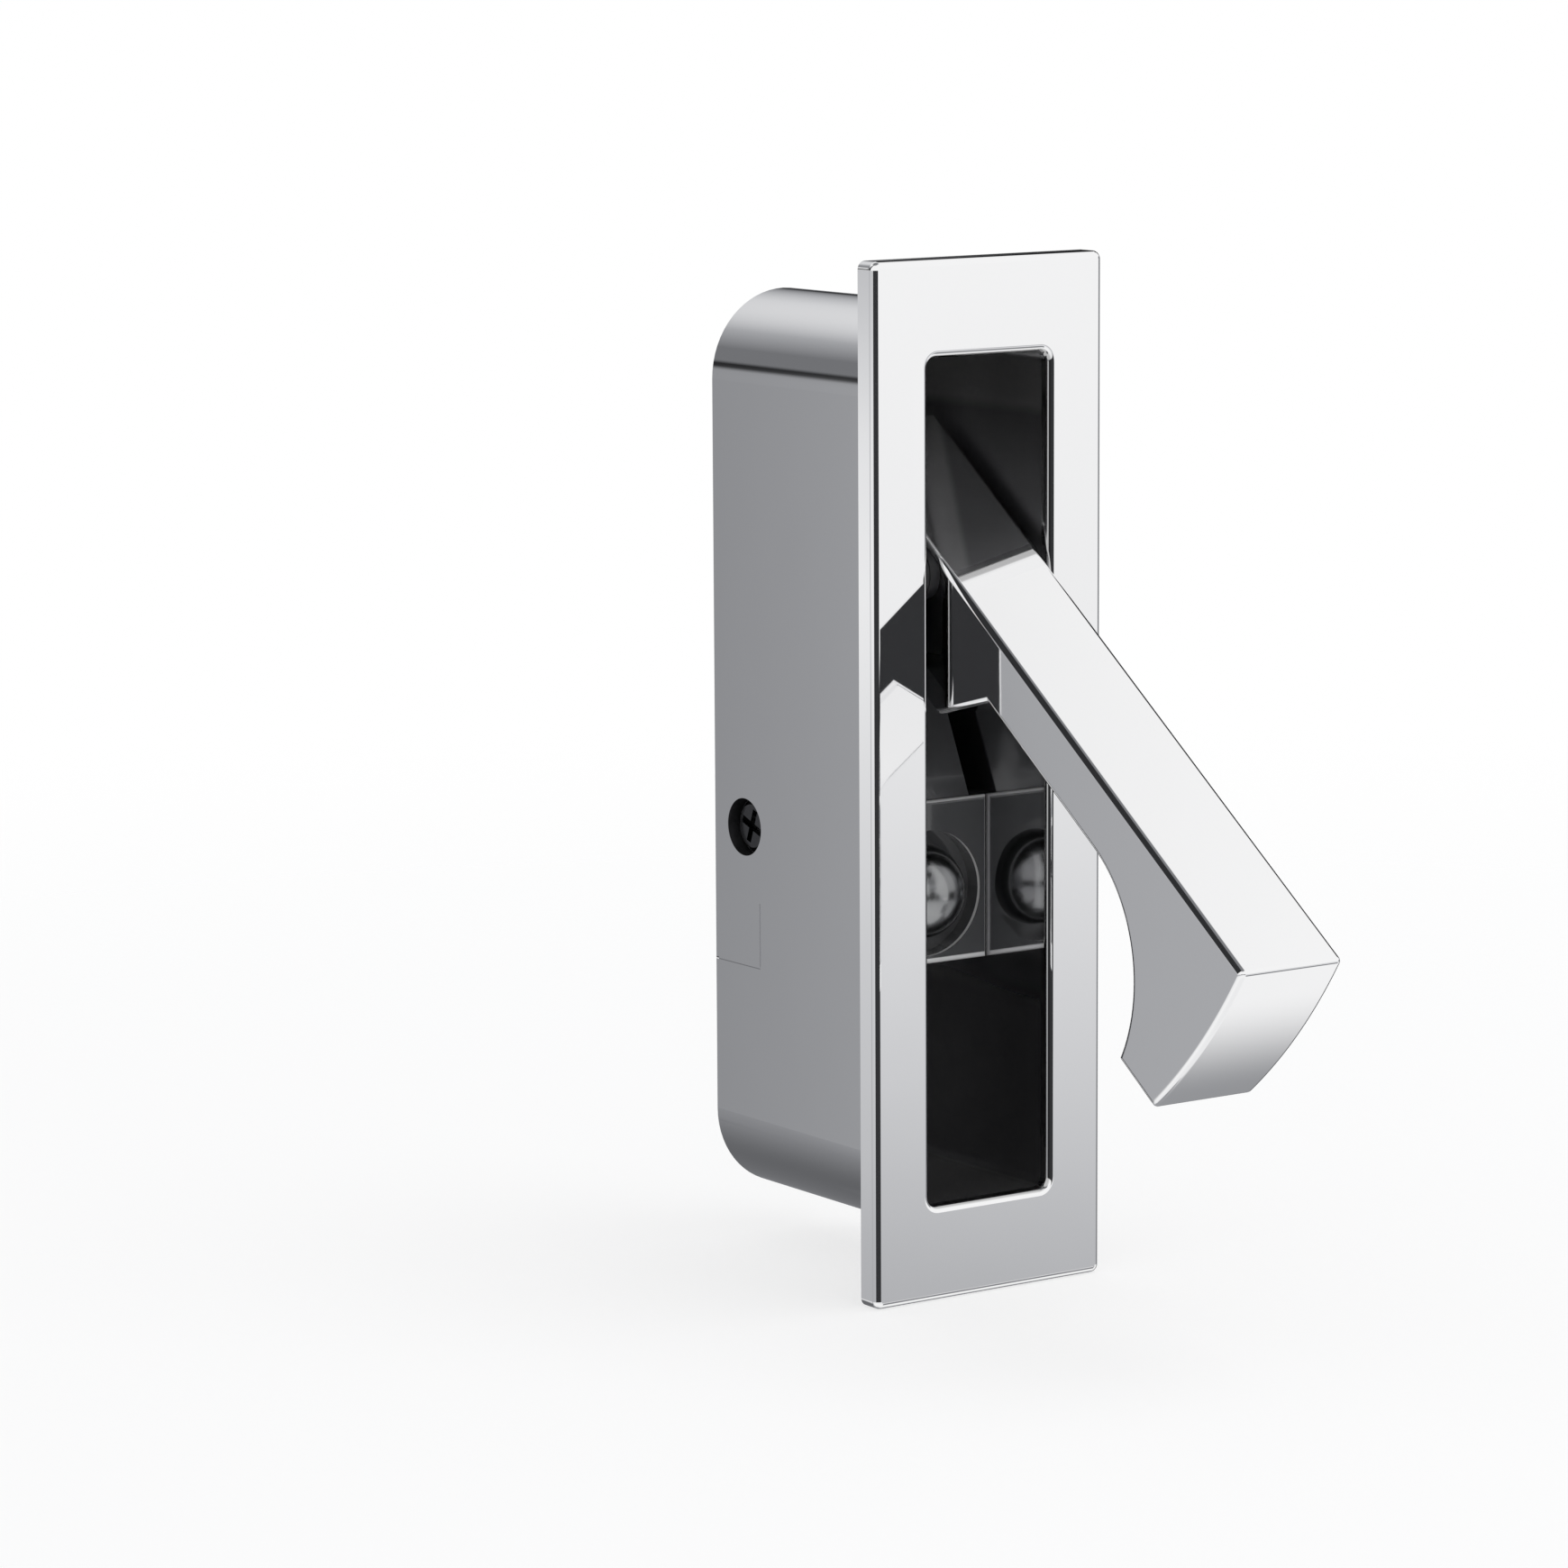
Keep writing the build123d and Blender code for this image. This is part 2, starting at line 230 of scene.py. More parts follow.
class Graph:
    """A node tree that is being built."""

    def __init__(self, tree):
        self.tree = tree
        self.tree.nodes.clear()

    def add(self, kind, settings=None, sockets=None):
        """Adds a node of any kind: its settings first, then its sockets' values or links."""
        node = self.tree.nodes.new(kind)
        for name, value in (settings or {}).items():
            if name == "stops":
                self.set_stops(node.color_ramp, value)
            else:
                setattr(node, name, value)
        for name, value in (sockets or {}).items():
            if isinstance(value, Shade):
                value = value.socket
            if isinstance(value, bpy.types.NodeSocket):
                self.tree.links.new(value, node.inputs[name])
            else:
                node.inputs[name].default_value = value
        return node

    @staticmethod
    def set_stops(ramp, stops):
        """Sets a ramp's places and colours, in rising order."""
        while len(ramp.elements) < len(stops):
            ramp.elements.new(1.0)
        for element, (place, tint) in zip(ramp.elements, stops):
            element.position = place
            element.color = tint

    def shade(self, node, output=0):
        """A node's output as a number."""
        return Shade(self, node.outputs[output])

    def math(self, operation, first, second=0.0):
        """A Math node's result."""
        return self.shade(self.add("ShaderNodeMath", {"operation": operation}, {0: first, 1: second}))

    def place(self, space="Object"):
        """The point's x, y and z in the part's own frame, or a ray's direction in a world."""
        where = self.add("ShaderNodeTexCoord")
        split = self.add("ShaderNodeSeparateXYZ", sockets={0: where.outputs[space]})
        return [self.shade(split, axis) for axis in range(3)]

    def step(self, value, low, high):
        """Rises smoothly from 0 at low to 1 at high."""
        node = self.add(
            "ShaderNodeMapRange", {"interpolation_type": "SMOOTHSTEP"},
            {"Value": value, "From Min": low, "From Max": high},
        )
        return self.shade(node)

    def noise(self, size, detail=2.0, stretch=(1.0, 1.0, 1.0)):
        """Noise whose cells are size metres across, stretched along the axes."""
        where = self.add("ShaderNodeTexCoord")
        scaled = self.add(
            "ShaderNodeVectorMath", {"operation": "DIVIDE"}, {0: where.outputs["Object"], 1: stretch}
        )
        node = self.add(
            "ShaderNodeTexNoise",
            sockets={"Vector": scaled.outputs[0], "Scale": 1.0 / size, "Detail": detail},
        )
        return self.shade(node)

    def mix(self, factor, first, second):
        """Mixes two colours."""
        node = self.add(
            "ShaderNodeMix", {"data_type": "RGBA"}, {"Factor": factor, 6: first, 7: second}
        )
        return node.outputs[2]

    def bump(self, height, depth=1.0, strength=1.0):
        """A normal from a height that counts in steps of depth metres."""
        node = self.add(
            "ShaderNodeBump", sockets={"Height": height, "Distance": depth, "Strength": strength}
        )
        return node.outputs["Normal"]

    def surface(self, sockets):
        """Ends a material in a surface with these values."""
        shader = self.add("ShaderNodeBsdfPrincipled", sockets=sockets)
        self.add("ShaderNodeOutputMaterial", sockets={"Surface": shader.outputs[0]})


def rgba(tint, level=1.0):
    """A colour at a share of its brightness, as sockets take it."""
    return (*(channel * level for channel in tint), 1.0)


def new_material(name):
    """An empty material and its graph."""
    material = bpy.data.materials.new(name)
    material.use_nodes = True
    return material, Graph(material.node_tree)


def dress(node, material):
    """Gives a CAD node its finish."""
    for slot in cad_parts[node].material_slots:
        slot.material = material


def middle(node):
    """The middle of a CAD node's box."""
    low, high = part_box(node)
    return [(a + b) / 2 for a, b in zip(low, high)]


def plating(graph, finish):
    """Colour, roughness and height of mirror plating with faint smears and ripple."""
    smear = graph.noise(size=9 * MM, detail=4.0)
    wipe = graph.noise(size=0.7 * MM, detail=3.0, stretch=(1.0, 1.0, 14.0))
    wave = graph.noise(size=11 * MM, detail=1.0)
    wave_height = 0.02 * MM
    smear_tint, smear_haze, wipe_haze = 0.25, 0.03, 0.015
    base = graph.mix(smear * smear_tint, rgba(finish.chrome), rgba(finish.chrome, level=0.94))
    roughness = finish.chrome_roughness + (smear - 0.5) * smear_haze + (wipe - 0.5) * wipe_haze
    return base, roughness, wave * (wave_height * finish.ripple)


def polish(graph, base, roughness, height):
    """Ends a plated material."""
    graph.surface({"Base Color": base, "Metallic": 1.0, "Roughness": roughness, "Normal": graph.bump(height)})


def lever_plating(finish):
    """Mirror plating all over the lever."""
    material, graph = new_material("lever_plating")
    polish(graph, *plating(graph, finish))
    return material


def dull_and_shaded_cavity(graph, finish, body, base, roughness):
    """Painted shade on the slot's lip, and plating that dulls and darkens inside the cavity, partly thin
    plating and partly painted shade; the plate's back is at y = 0.
    """
    x, y, z = graph.place()
    plate_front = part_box("body")[0][1]
    block_low, block_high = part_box("fixing_block")
    half_width = block_high[0] + body.block_gap
    half_height = body.cavity_reach
    foot, top = block_low[2] - body.hollow_gap, block_high[2] + body.hollow_gap
    mask_edge = 0.1 * MM
    wall_spare = 0.02 * MM
    lip_start = (plate_front + 0.06 * MM, plate_front + 0.20 * MM)
    lip_stop = (-0.8 * MM, -0.4 * MM)
    wall_start = (plate_front + body.lip, plate_front + body.lip + 0.8 * MM)
    hollow_above = (top, top + 4 * MM)
    hollow_below = (foot - 3 * MM, foot)
    side_walls = (half_width - 0.5 * MM, half_width - 0.3 * MM)
    upper_end = (half_height - 6.5 * MM, half_height - 5.0 * MM)
    throat_haze, deep_haze, hollow_haze = 0.02, 0.15, 0.30

    def inside(spare):
        """Mask of the slot's outline, let out by spare."""
        beside = graph.step(abs(x), half_width + spare, half_width + spare + mask_edge)
        beyond = graph.step(abs(z), half_height + spare, half_height + spare + mask_edge)
        return (1 - beside) * (1 - beyond)

    rolled_in = inside(body.lip) * graph.step(y, *lip_start) * (1 - graph.step(y, *lip_stop))
    within = inside(wall_spare) * graph.step(y, *wall_start)
    deep = within * graph.step(y, body.dull_and_shade_from, body.dull_and_shade_to)
    hollow = within * (graph.step(z, *hollow_above) + 1 - graph.step(z, *hollow_below))
    flank = graph.step(abs(x), *side_walls) * (1 - graph.step(z, *upper_end))
    # Painted shade on the slot's rolled lip
    base = graph.mix(rolled_in, base, rgba(finish.lip_shade))
    base = graph.mix(within, base, rgba(finish.throat_chrome))
    # Painted shade, partly thin plating and unpolished metal: darker deep in the cavity, above and below the
    # block and on its side walls
    base = graph.mix(deep, base, rgba(finish.deep_chrome_and_shade))
    base = graph.mix(hollow, base, rgba(finish.hollow_chrome_and_shade))
    base = graph.mix(hollow * flank, base, rgba(finish.deep_chrome_and_shade))
    return base, roughness + within * throat_haze + deep * deep_haze + hollow * hollow_haze


def shaded_hole(graph, finish, body, base, roughness):
    """Painted shade: dark, rough metal on the wall of the hole for the side screw."""
    x, y, z = graph.place()
    _, hole_y, hole_z = middle("side_screw")
    off_y, off_z = y - hole_y, z - hole_z
    rim = body.hole_radius + 0.02 * MM
    left_wall = (7.0 * MM, 7.2 * MM)
    hole_wall_haze = 0.4
    around = graph.step(off_y * off_y + off_z * off_z, body.hole_radius ** 2, rim ** 2)
    # Painted shade on the hole's wall, in the case's left side
    hole_wall_shade = (1 - around) * graph.step(-1 * x, *left_wall)
    return graph.mix(hole_wall_shade, base, rgba(finish.dark_steel_and_hole_shade)), roughness + hole_wall_shade * hole_wall_haze


def crowned_sides(graph, finish, body):
    """Height that slopes the plate's narrow sides in toward its front."""
    x, y, _ = graph.place()
    low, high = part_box("body")
    rise = graph.math("MAXIMUM", y - (low[1] + body.plate_roll), 0.0) * finish.crown
    narrow_side = (high[0] - 0.04 * MM, high[0] - 0.01 * MM)
    return rise * graph.step(abs(x), *narrow_side)


def body_plating(finish, body):
    """Mirror plating outside; the cavity is dull and darkened with painted shade, the side hole's wall has
    painted shade and the plate's sides are crowned.
    """
    material, graph = new_material("body_plating")
    base, roughness, height = plating(graph, finish)
    base, roughness = dull_and_shaded_cavity(graph, finish, body, base, roughness)
    base, roughness = shaded_hole(graph, finish, body, base, roughness)
    polish(graph, base, roughness, height + crowned_sides(graph, finish, body))
    return material


def block_moulding(finish, body):
    """Dark glossy moulding with a faint flow pattern, with a painted highlight in pale colour along the edges
    of its front.
    """
    material, graph = new_material("block_moulding")
    _, y, z = graph.place()
    _, front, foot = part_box("fixing_block")[0]
    highlight_back, highlight_top = front + body.highlight_width, foot + body.highlight_width
    flow = graph.noise(size=5 * MM, detail=5.0, stretch=(1.0, 1.0, 2.0))
    grain = graph.noise(size=0.25 * MM)
    near_front = 1 - graph.step(y, highlight_back, highlight_back + 0.06 * MM)
    off_face = graph.step(y, front + 0.02 * MM, front + 0.08 * MM)
    above_sill = graph.step(z, highlight_top + 0.1 * MM, highlight_top + 0.2 * MM)
    # Painted highlight: pale colour on a thin band along the front's edges, where they catch the light
    painted_highlight = near_front * (1 - (1 - off_face) * above_sill)
    flow_tint, flow_haze = 0.6, 0.10
    base = graph.mix(flow * flow_tint, rgba(finish.block), rgba(finish.block, level=1.7))
    base = graph.mix(painted_highlight, base, rgba(finish.block_edge_highlight))
    graph.surface({
        "Base Color": base, "Roughness": 0.12 + flow * flow_haze, "Coat Weight": 0.6, "Coat Roughness": 0.06,
        "Normal": graph.bump(grain, depth=0.01 * MM, strength=0.15),
    })
    return material


def washer_nylon(finish):
    """Black nylon, slightly cloudy."""
    material, graph = new_material("washer_nylon_finish")
    cloud = graph.noise(size=1.2 * MM, detail=3.0)
    cloud_tint, cloud_haze = 0.5, 0.12
    base = graph.mix(cloud * cloud_tint, rgba(finish.nylon), rgba(finish.nylon, level=0.85))
    graph.surface({"Base Color": base, "Roughness": 0.42 + cloud * cloud_haze})
    return material


def turned_steel(name, tint, roughness, streak):
    """Machined steel with fine tool marks; streak stretches them round the turned axis."""
    material, graph = new_material(name)
    marks = graph.noise(size=0.12 * MM, detail=3.0, stretch=streak)
    cloud = graph.noise(size=2.0 * MM, detail=3.0)
    cloud_tint, mark_haze = 0.5, 0.08
    graph.surface({
        "Base Color": graph.mix(cloud * cloud_tint, rgba(tint), rgba(tint, level=0.7)), "Metallic": 1.0,
        "Roughness": roughness + (marks - 0.5) * mark_haze,
        "Normal": graph.bump(marks, depth=0.002 * MM, strength=0.10),
    })
    return material


def new_piece(name, mesh, body, material):
    """Puts a finished mesh in the scene, on the body that carries it."""
    piece = bpy.data.objects.new(name, mesh)
    bpy.context.scene.collection.objects.link(piece)
    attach(piece, body)
    mesh.materials.append(material)
    return piece


def finished_mesh(name, mesh):
    """A smooth mesh with its faces turned outward, made from a bmesh that is then let go."""
    bmesh.ops.recalc_face_normals(mesh, faces=mesh.faces)
    for face in mesh.faces:
        face.smooth = True
    made = bpy.data.meshes.new(name)
    mesh.to_mesh(made)
    mesh.free()
    return made


class EDGEPULL_OT_body(bpy.types.Operator):
    """Finish the cast body in polished plating that dulls and darkens with painted shade inside its cavity"""

    bl_idname = "edge_pull.body"
    bl_label = "Body"

    def execute(self, context):
        scene = context.scene
        dress("body", body_plating(scene.edge_pull_finish, scene.edge_pull_body))
        return {"FINISHED"}


# How finely the lever's rounds are cut, and how near two points of its outline are the same
ARC_STEPS = 28
CORNER_STEPS = 6
EDGE_STEPS = 6
HOLE_SIDES = 48
SAME_PLACE = 0.01 * MM


def arc(centre, radius, start, stop, steps):
    """Points along an arc between two angles, both ends included."""
    angles = [start + (stop - start) * i / steps for i in range(steps + 1)]
    return [(centre[0] + radius * cos(a), centre[1] + radius * sin(a)) for a in angles]


def rounded(before, corner, after, radius):
    """Points that round a corner of an outline."""
    corner = Vector(corner)
    to_before = (Vector(before) - corner).normalized()
    to_after = (Vector(after) - corner).normalized()
    half = to_before.angle(to_after) / 2
    centre = corner + (to_before + to_after).normalized() * radius / sin(half)
    first = corner + to_before * radius / tan(half) - centre
    last = corner + to_after * radius / tan(half) - centre
    spokes = [first.slerp(last, i / CORNER_STEPS).normalized() for i in range(CORNER_STEPS + 1)]
    return [tuple(centre + spoke * radius) for spoke in spokes]


def lever_outline(lever):
    """Outline of the lever in depth and height from its pin, in two runs that part at the pin's height.

    The third value lists the corners that are rounded across the lever, with their radii.
    """
    front = -lever.pivot_depth
    back, hub, heel = front + lever.bar, front + lever.hub_depth, front + lever.heel_depth
    foot = -lever.below + lever.heel_length
    hollow = back + lever.finger_radius
    lean = asin((hollow - heel) / lever.finger_radius)
    hollow_top = foot + lever.finger_radius * cos(lean)
    end_radius = sqrt(lever.below ** 2 + front ** 2)
    heel_end = -sqrt(end_radius ** 2 - heel ** 2)
    front_top, front_foot = (front, lever.above), (front, -lever.below)
    back_top = (back, lever.above)
    hub_top, hub_foot = (hub, lever.hub_above), (hub, -lever.hub_below)
    slope_top = (back, lever.hub_above + lever.flank_above)
    slope_foot = (back, -lever.hub_below - lever.flank_below)
    upper = [
        (front, 0.0), front_top, back_top, slope_top,
        *rounded(slope_top, hub_top, hub_foot, lever.hub_radius), (hub, 0.0),
    ]
    lower = [
        (hub, 0.0), *rounded(hub_top, hub_foot, slope_foot, lever.hub_radius), slope_foot,
        *arc((hollow, hollow_top), lever.finger_radius, pi, 1.5 * pi - lean, ARC_STEPS),
        *arc((0.0, 0.0), end_radius, atan2(heel_end, heel), atan2(-lever.below, front), ARC_STEPS),
        (front, 0.0),
    ]
    small = (front_top, back_top, slope_top, slope_foot, (heel, foot), (heel, heel_end))
    rolled = [(front_foot, lever.end_radius), *((corner, lever.corner_radius) for corner in small)]
    return upper, lower, rolled


def lever_mesh(lever):
    """Closed mesh of the lever where it stands open, with the roundness of its edges as bevel weights."""
    upper, lower, rolled = lever_outline(lever)
    _, pin_y, pin_z = middle("pivot_pin")
    cosine, sine = cos(lever.open_angle), sin(lever.open_angle)
    mesh = bmesh.new()
    weight = mesh.edges.layers.float.new("bevel_weight_edge")

    def point(x, place):
        depth, up = place
        y, z = pin_y + depth * cosine + up * sine, pin_z - depth * sine + up * cosine
        return mesh.verts.new((x, y, z))

    outline = upper + lower[1:-1]
    split = len(upper) - 1
    hole = arc((0.0, 0.0), lever.pin_hole, 0.0, tau, HOLE_SIDES)[:-1]
    half_hole = HOLE_SIDES // 2
    rims, bores = [], []
    for x in (-lever.width / 2, lever.width / 2):
        rim = [point(x, place) for place in outline]
        bore = [point(x, place) for place in hole]
        mesh.faces.new(rim[:split + 1] + bore[:half_hole + 1])
        mesh.faces.new(rim[split:] + rim[:1] + bore[half_hole:] + bore[:1])
        rims.append(rim)
        bores.append(bore)
    for left, right in (rims, bores):
        for i in range(len(left)):
            mesh.faces.new((left[i - 1], left[i], right[i], right[i - 1]))
    for rim in rims:
        for i in range(len(rim)):
            mesh.edges.get((rim[i - 1], rim[i]))[weight] = 1.0
    for place, left, right in zip(outline, *rims):
        for corner, radius in rolled:
            if (Vector(place) - Vector(corner)).length < SAME_PLACE:
                mesh.edges.get((left, right))[weight] = radius / lever.edge_radius
    for bore in bores:
        for i in range(len(bore)):
            mesh.edges.get((bore[i - 1], bore[i])).smooth = False
    return finished_mesh("polished_lever", mesh)


class EDGEPULL_OT_lever(bpy.types.Operator):
    """Build the lever with smoothly rolled edges and finish it in polished plating"""

    bl_idname = "edge_pull.lever"
    bl_label = "Lever"

    def execute(self, context):
        sizes = context.scene.edge_pull_lever
        chrome = lever_plating(context.scene.edge_pull_finish)
        lever = new_piece("polished_lever", lever_mesh(sizes), "lever", chrome)
        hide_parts("lever")
        edges = lever.modifiers.new("rolled_edges", "BEVEL")
        edges.limit_method = "WEIGHT"
        edges.width = sizes.edge_radius
        edges.segments = EDGE_STEPS
        edges.use_clamp_overlap = False
        flats = lever.modifiers.new("true_flats", "WEIGHTED_NORMAL")
        flats.keep_sharp = True
        return {"FINISHED"}


class EDGEPULL_OT_pivot(bpy.types.Operator):
    """Finish the pivot pin and its two friction washers"""

    bl_idname = "edge_pull.pivot"
    bl_label = "Pivot"

    def execute(self, context):
        finish = context.scene.edge_pull_finish
        dress("pivot_pin", turned_steel("pin_finish", finish.steel, roughness=0.25, streak=(1.0, 9.0, 9.0)))
        nylon = washer_nylon(finish)
        for node in ("left_washer", "right_washer"):
            dress(node, nylon)
        return {"FINISHED"}


class EDGEPULL_OT_block(bpy.types.Operator):
    """Finish the fixing block and the dome cap in its recess"""

    bl_idname = "edge_pull.block"
    bl_label = "Fixing block"

    def execute(self, context):
        finish = context.scene.edge_pull_finish
        dress("fixing_block", block_moulding(finish, context.scene.edge_pull_body))
        dress("screw_cap", turned_steel("cap_finish", finish.cap, roughness=0.22, streak=(6.0, 1.0, 6.0)))
        return {"FINISHED"}


# How finely the fixing screw is cut, how fast its thread fades at the point, and which edges stay sharp
SCREW_SIDES = 48
ROWS_PER_TURN = 18
POINT_FADE = 3.0
SHARP_ANGLE = radians(35)


def clamped(value):
    """A number held between 0 and 1."""
    return min(1.0, max(0.0, value))


def cross_outline(screw):
    """Corners of the cross recess, in order round it."""
    reach, half = screw.cross_length / 2, screw.cross_width / 2
    arm = [(half, half), (half, reach), (-half, reach)]
    corners = []
    for _ in range(4):
        corners += arm
        arm = [(-up, across) for across, up in arm]
    return corners


def thread_radius(screw, y, turned, start, tip):
    """Radius of the thread at a depth and an angle; the thread fades out along the point."""
    turn = ((y - start) / screw.pitch - turned / tau) % 1.0
    ridge = clamped((1.0 - abs(2.0 * turn - 1.0) - screw.root_share) / screw.flank_share)
    taper = clamped((tip - y) / screw.point_length)
    crest = screw.point_radius + (screw.thread_radius - screw.point_radius) * taper
    return crest - screw.thread_depth * min(1.0, POINT_FADE * taper) * (1.0 - ridge)


def threaded_screw(screw):
    """Closed mesh of the fixing screw: head with a cross recess, shank, helical thread and point."""
    low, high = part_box("fixing_screw")
    axis_z = middle("fixing_screw")[2]
    head_radius = high[0]
    head_top, tip = low[1], high[1]
    seat = head_top + screw.head_height
    thread_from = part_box("body")[1][1] + screw.thread_gap
    angles = [tau * i / SCREW_SIDES for i in range(SCREW_SIDES)]
    mesh = bmesh.new()

    def ring(y, radii):
        return [mesh.verts.new((r * cos(a), y, axis_z + r * sin(a))) for a, r in zip(angles, radii)]

    turned = (
        (head_top, head_radius - screw.head_bevel), (head_top + screw.head_bevel, head_radius),
        (seat, head_radius), (seat, screw.shank_radius), (thread_from, screw.shank_radius),
    )
    rings = [ring(y, [radius] * SCREW_SIDES) for y, radius in turned]
    rows = round((tip - thread_from) / screw.pitch * ROWS_PER_TURN)
    for row in range(1, rows + 1):
        y = thread_from + (tip - thread_from) * row / rows
        rings.append(ring(y, [thread_radius(screw, y, a, thread_from, tip) for a in angles]))
    for first, second in zip(rings, rings[1:]):
        for i in range(SCREW_SIDES):
            mesh.faces.new((first[i - 1], first[i], second[i], second[i - 1]))
    mesh.faces.new(rings[-1])

    corners = cross_outline(screw)
    mouth = [mesh.verts.new((x, head_top, axis_z + z)) for x, z in corners]
    floor = [mesh.verts.new((x, head_top + screw.cross_depth, axis_z + z)) for x, z in corners]
    for i in range(len(corners)):
        mesh.faces.new((mouth[i - 1], mouth[i], floor[i], floor[i - 1]))
    mesh.faces.new(floor)
    rim = [mesh.edges.get((loop[i - 1], loop[i])) for loop in (rings[0], mouth) for i in range(len(loop))]
    bmesh.ops.triangle_fill(mesh, edges=rim, use_beauty=True, use_dissolve=False)
    made = finished_mesh("threaded_screw", mesh)
    made.set_sharp_from_angle(angle=SHARP_ANGLE)
    return made


class EDGEPULL_OT_screws(bpy.types.Operator):
    """Cut the fixing screw's thread, and finish it and the side screw"""

    bl_idname = "edge_pull.screws"
    bl_label = "Screws"

    def execute(self, context):
        finish = context.scene.edge_pull_finish
        mesh = threaded_screw(context.scene.edge_pull_screw)
        steel = turned_steel("screw_finish", finish.steel, roughness=0.28, streak=(8.0, 1.0, 8.0))
        screw = new_piece("threaded_screw", mesh, "case", steel)
        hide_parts("fixing_screw")
        side_steel = turned_steel(
            "side_screw_finish", finish.dark_steel_and_hole_shade, roughness=0.20, streak=(1.0, 8.0, 8.0)
        )
        dress("side_screw", side_steel)
        return {"FINISHED"}


# Tones of the room that polished metal reflects, each at its elevation in degrees
FRONT_WALL = (
    (-90, 0.90), (-60, 0.93), (-45, 1.0), (-18, 0.85), (-14, 0.47), (-12, 0.64), (-10, 0.77), (-7.5, 0.93),
    (-3, 1.0), (57, 1.0), (70, 0.22),
)
BACK_LEFT_WALL = (
    (-50, 0.34), (-41, 0.30), (-37.5, 0.12), (-16, 0.26), (3, 0.26), (5.4, 0.02), (7.8, 0.02), (10, 0.18),
    (19, 0.18), (30, 0.39), (37, 0.70), (50, 1.0), (70, 0.22),
)
BACK_RIGHT_WALL = (
    (-50, 0.34), (-41, 0.30), (-37.5, 0.14), (-24, 0.18), (-16, 0.24), (3, 0.24), (5.4, 0.03), (7.8, 0.03),
    (12, 0.22), (20, 0.44), (30, 0.68), (50, 1.0), (70, 0.22),
)
LEFT_CARD = (
    (-17, 0.40), (-13.6, 0.47), (-12.5, 0.57), (-10.8, 0.63), (-7.2, 0.92), (-5.5, 0.84), (-3.8, 0.55),
    (0, 0.50),
)

# Where the walls fade into each other, in degrees round from the room's back
BACK_FROM = (-97, -62)
BACK_MIDDLE = (-20, 25)
BACK_TO = (33, 66)

# Cards on the walls: azimuth from the part's front, half width, foot, head and soft edge in degrees,
# degrees that the card leans round for each degree of height, and its tone or tones
CARDS = (
    (-136, 4, -20, 0, 8, 0.0, 0.42),
    (-131, 9, 6, 88, 5, 0.6, 0.03),
    (-100, 26, -18, -3, 4, 0.0, LEFT_CARD),
    (-24, 42, -14.2, -3.6, 3, 0.0, 0.035),
    (124, 18, -34, 43, 4, 0.0, 0.02),
    (-174, 22, -19, -8, 3, 0.0, 0.03),
    (45, 9, -39, -25, 3, 0.0, 0.25),
    (92, 24, -15, 8, 5, 0.0, 0.26),
)


def studio_world(studio):
    """White room seen by the camera; polished metal also sees its grey back and its cards."""
    world = bpy.data.worlds.new("studio")
    world.use_nodes = True
    bpy.context.scene.world = world
    graph = Graph(world.node_tree)
    x, y, z = graph.place("Generated")
    height = graph.math("ARCSINE", z) * degrees(1)

    def grey(tone):
        """A tone of the room, slightly blue where it is neither black nor white."""
        cool = studio.coolness * (1.0 - tone)
        green_share = 0.25
        return (tone, tone * (1.0 + green_share * cool), tone * (1.0 + cool), 1.0)

    def wall(tones):
        """Tones by elevation."""
        stops = [((elevation + 90) / 180, grey(tone)) for elevation, tone in tones]
        ramp = graph.add("ShaderNodeValToRGB", {"stops": stops}, {"Fac": (height + 90) * (1 / 180)})
        return ramp.outputs["Color"]

    def turned(azimuth):
        """Degrees round from an azimuth."""
        a = radians(azimuth)
        across, along = x * cos(a) + y * sin(a), x * sin(a) - y * cos(a)
        return graph.math("ARCTAN2", across, along) * degrees(1)

    def card(azimuth, half_width, foot, head, soft, lean):
        """Mask of a soft-edged oblong on the wall."""
        aside = abs(turned(azimuth) - height * lean)
        beside = graph.step(aside, half_width, half_width + soft)
        over = graph.step(height, head, head + soft)
        return (1 - beside) * graph.step(height, foot - soft, foot) * (1 - over)

    behind = turned(180)
    back = graph.mix(graph.step(behind, *BACK_MIDDLE), wall(BACK_RIGHT_WALL), wall(BACK_LEFT_WALL))
    at_back = graph.step(behind, *BACK_FROM) * (1 - graph.step(behind, *BACK_TO))
    seen = graph.mix(at_back, wall(FRONT_WALL), back)
    for *place, tone in CARDS:
        seen = graph.mix(card(*place), seen, wall(tone) if isinstance(tone, tuple) else grey(tone))
    path = graph.add("ShaderNodeLightPath")
    shown = graph.mix(graph.shade(path, "Is Glossy Ray"), grey(studio.light_level), seen)
    shown = graph.mix(graph.shade(path, "Is Transmission Ray"), shown, seen)
    shown = graph.mix(graph.shade(path, "Is Camera Ray"), shown, grey(1.0))
    background = graph.add("ShaderNodeBackground", sockets={"Color": shown, "Strength": 1.0})
    graph.add("ShaderNodeOutputWorld", sockets={"Surface": background.outputs[0]})


